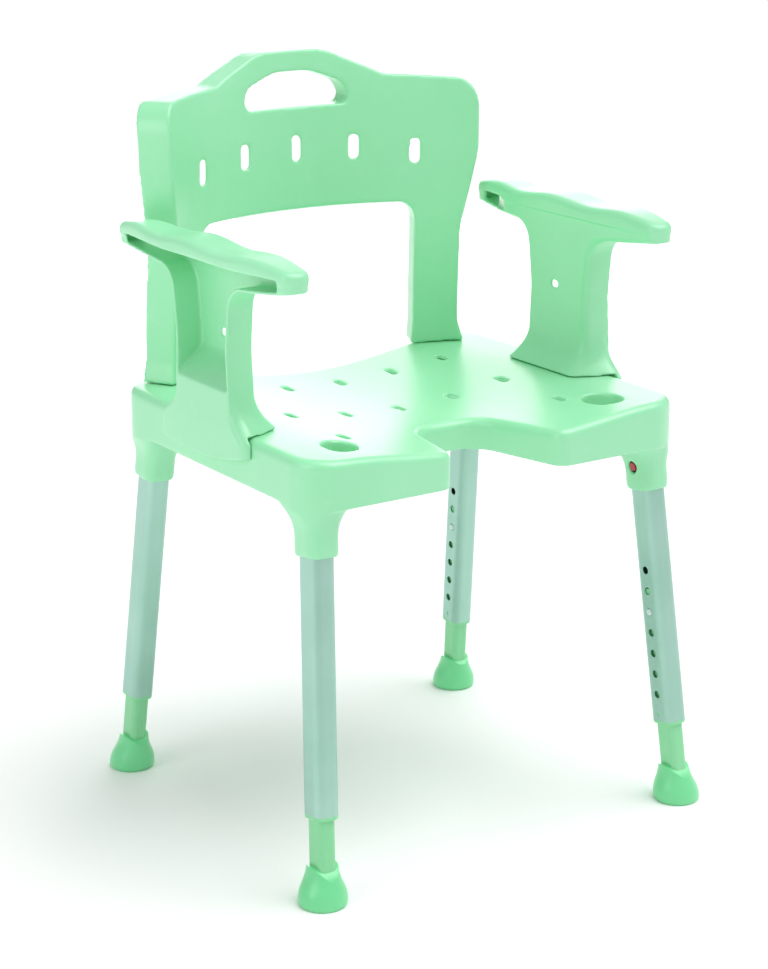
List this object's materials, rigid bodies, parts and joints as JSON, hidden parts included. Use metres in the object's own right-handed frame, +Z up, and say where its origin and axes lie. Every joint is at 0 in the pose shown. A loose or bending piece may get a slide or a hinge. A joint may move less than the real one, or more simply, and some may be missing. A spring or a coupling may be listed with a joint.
{
  "type": "shower stool",
  "caption": "Free-standing shower stool with a dished, notched plastic seat, lift-off back and arm supports, and telescopic legs set by spring buttons.",
  "frame": {"origin": "centre of the outer box at floor level", "axes": "+Z up; the sitter faces -Y; +X is the sitter's left"},
  "size_m": [0.5444, 0.504, 0.8405],
  "materials": {
    "shell_plastic": "satin moulded",
    "leg_plastic": "satin moulded",
    "foot_rubber": "satin",
    "tube_aluminium": "satin anodised",
    "spring_steel": "bright",
    "button_light": "smooth",
    "button_red": "smooth"
  },
  "bodies": {
    "seat": {"seat": "shell_plastic"},
    "back_support": {"back_support": "shell_plastic"},
    "arm_support_left": {"arm_support_left": "shell_plastic"},
    "arm_support_right": {"arm_support_right": "shell_plastic"},
    "leg_tube_front_left": {"leg_tube_front_left": "tube_aluminium", "guide_bush_front_left": "leg_plastic", "lock_spring_front_left": "spring_steel"},
    "leg_extension_front_left": {"leg_extension_front_left": "leg_plastic", "foot_front_left": "foot_rubber", "height_spring_front_left": "spring_steel"},
    "height_button_front_left": {"height_button_front_left": "button_light"},
    "lock_button_front_left": {"lock_button_front_left": "button_red"},
    "leg_tube_front_right": {"leg_tube_front_right": "tube_aluminium", "guide_bush_front_right": "leg_plastic", "lock_spring_front_right": "spring_steel"},
    "leg_extension_front_right": {"leg_extension_front_right": "leg_plastic", "foot_front_right": "foot_rubber", "height_spring_front_right": "spring_steel"},
    "height_button_front_right": {"height_button_front_right": "button_light"},
    "lock_button_front_right": {"lock_button_front_right": "button_red"},
    "leg_tube_back_left": {"leg_tube_back_left": "tube_aluminium", "guide_bush_back_left": "leg_plastic", "lock_spring_back_left": "spring_steel"},
    "leg_extension_back_left": {"leg_extension_back_left": "leg_plastic", "foot_back_left": "foot_rubber", "height_spring_back_left": "spring_steel"},
    "height_button_back_left": {"height_button_back_left": "button_light"},
    "lock_button_back_left": {"lock_button_back_left": "button_red"},
    "leg_tube_back_right": {"leg_tube_back_right": "tube_aluminium", "guide_bush_back_right": "leg_plastic", "lock_spring_back_right": "spring_steel"},
    "leg_extension_back_right": {"leg_extension_back_right": "leg_plastic", "foot_back_right": "foot_rubber", "height_spring_back_right": "spring_steel"},
    "height_button_back_right": {"height_button_back_right": "button_light"},
    "lock_button_back_right": {"lock_button_back_right": "button_red"}
  },
  "joints": [
    {"name": "back_support_lift_off", "type": "slide", "parent": "seat", "child": "back_support", "axis": [0, 0, 1], "range_m": [0, 0.05]},
    {"name": "arm_support_left_lift_off", "type": "slide", "parent": "seat", "child": "arm_support_left", "axis": [0, 0, 1], "range_m": [0, 0.05]},
    {"name": "arm_support_right_lift_off", "type": "slide", "parent": "seat", "child": "arm_support_right", "axis": [0, 0, 1], "range_m": [0, 0.05]},
    {"name": "leg_pull_out_front_left", "type": "slide", "parent": "seat", "child": "leg_tube_front_left", "axis": [0.0605, -0.115, -0.9915], "range_m": [0, 0.06], "deforming": ["lock_button_front_left"]},
    {"name": "leg_height_front_left", "type": "slide", "parent": "leg_tube_front_left", "child": "leg_extension_front_left", "axis": [0.0605, -0.115, -0.9915], "range_m": [-0.05, 0.1], "deforming": ["height_button_front_left"]},
    {"name": "height_button_press_front_left", "type": "slide", "parent": "leg_extension_front_left", "child": "height_button_front_left", "axis": [0.9982, 0.007, 0.0601], "range_m": [0, 0.0045], "stiffness_N_per_m": 1200, "springref_m": -0.002, "deforming": ["height_spring_front_left"]},
    {"name": "lock_button_press_front_left", "type": "slide", "parent": "leg_tube_front_left", "child": "lock_button_front_left", "axis": [0.9982, 0.007, 0.0601], "range_m": [0, 0.005], "stiffness_N_per_m": 1500, "springref_m": -0.002, "deforming": ["lock_spring_front_left"]},
    {"name": "leg_pull_out_front_right", "type": "slide", "parent": "seat", "child": "leg_tube_front_right", "axis": [-0.0605, -0.115, -0.9915], "range_m": [0, 0.06], "deforming": ["lock_button_front_right"]},
    {"name": "leg_height_front_right", "type": "slide", "parent": "leg_tube_front_right", "child": "leg_extension_front_right", "axis": [-0.0605, -0.115, -0.9915], "range_m": [-0.05, 0.1], "deforming": ["height_button_front_right"]},
    {"name": "height_button_press_front_right", "type": "slide", "parent": "leg_extension_front_right", "child": "height_button_front_right", "axis": [-0.9982, 0.007, 0.0601], "range_m": [0, 0.0045], "stiffness_N_per_m": 1200, "springref_m": -0.002, "deforming": ["height_spring_front_right"]},
    {"name": "lock_button_press_front_right", "type": "slide", "parent": "leg_tube_front_right", "child": "lock_button_front_right", "axis": [-0.9982, 0.007, 0.0601], "range_m": [0, 0.005], "stiffness_N_per_m": 1500, "springref_m": -0.002, "deforming": ["lock_spring_front_right"]},
    {"name": "leg_pull_out_back_left", "type": "slide", "parent": "seat", "child": "leg_tube_back_left", "axis": [0.0446, 0.1229, -0.9914], "range_m": [0, 0.06], "deforming": ["lock_button_back_left"]},
    {"name": "leg_height_back_left", "type": "slide", "parent": "leg_tube_back_left", "child": "leg_extension_back_left", "axis": [0.0446, 0.1229, -0.9914], "range_m": [-0.05, 0.1], "deforming": ["height_button_back_left"]},
    {"name": "height_button_press_back_left", "type": "slide", "parent": "leg_extension_back_left", "child": "height_button_back_left", "axis": [0.999, -0.0055, 0.0443], "range_m": [0, 0.0045], "stiffness_N_per_m": 1200, "springref_m": -0.002, "deforming": ["height_spring_back_left"]},
    {"name": "lock_button_press_back_left", "type": "slide", "parent": "leg_tube_back_left", "child": "lock_button_back_left", "axis": [0.999, -0.0055, 0.0443], "range_m": [0, 0.005], "stiffness_N_per_m": 1500, "springref_m": -0.002, "deforming": ["lock_spring_back_left"]},
    {"name": "leg_pull_out_back_right", "type": "slide", "parent": "seat", "child": "leg_tube_back_right", "axis": [-0.0446, 0.1229, -0.9914], "range_m": [0, 0.06], "deforming": ["lock_button_back_right"]},
    {"name": "leg_height_back_right", "type": "slide", "parent": "leg_tube_back_right", "child": "leg_extension_back_right", "axis": [-0.0446, 0.1229, -0.9914], "range_m": [-0.05, 0.1], "deforming": ["height_button_back_right"]},
    {"name": "height_button_press_back_right", "type": "slide", "parent": "leg_extension_back_right", "child": "height_button_back_right", "axis": [-0.999, -0.0055, 0.0443], "range_m": [0, 0.0045], "stiffness_N_per_m": 1200, "springref_m": -0.002, "deforming": ["height_spring_back_right"]},
    {"name": "lock_button_press_back_right", "type": "slide", "parent": "leg_tube_back_right", "child": "lock_button_back_right", "axis": [-0.999, -0.0055, 0.0443], "range_m": [0, 0.005], "stiffness_N_per_m": 1500, "springref_m": -0.002, "deforming": ["lock_spring_back_right"]}
  ]
}
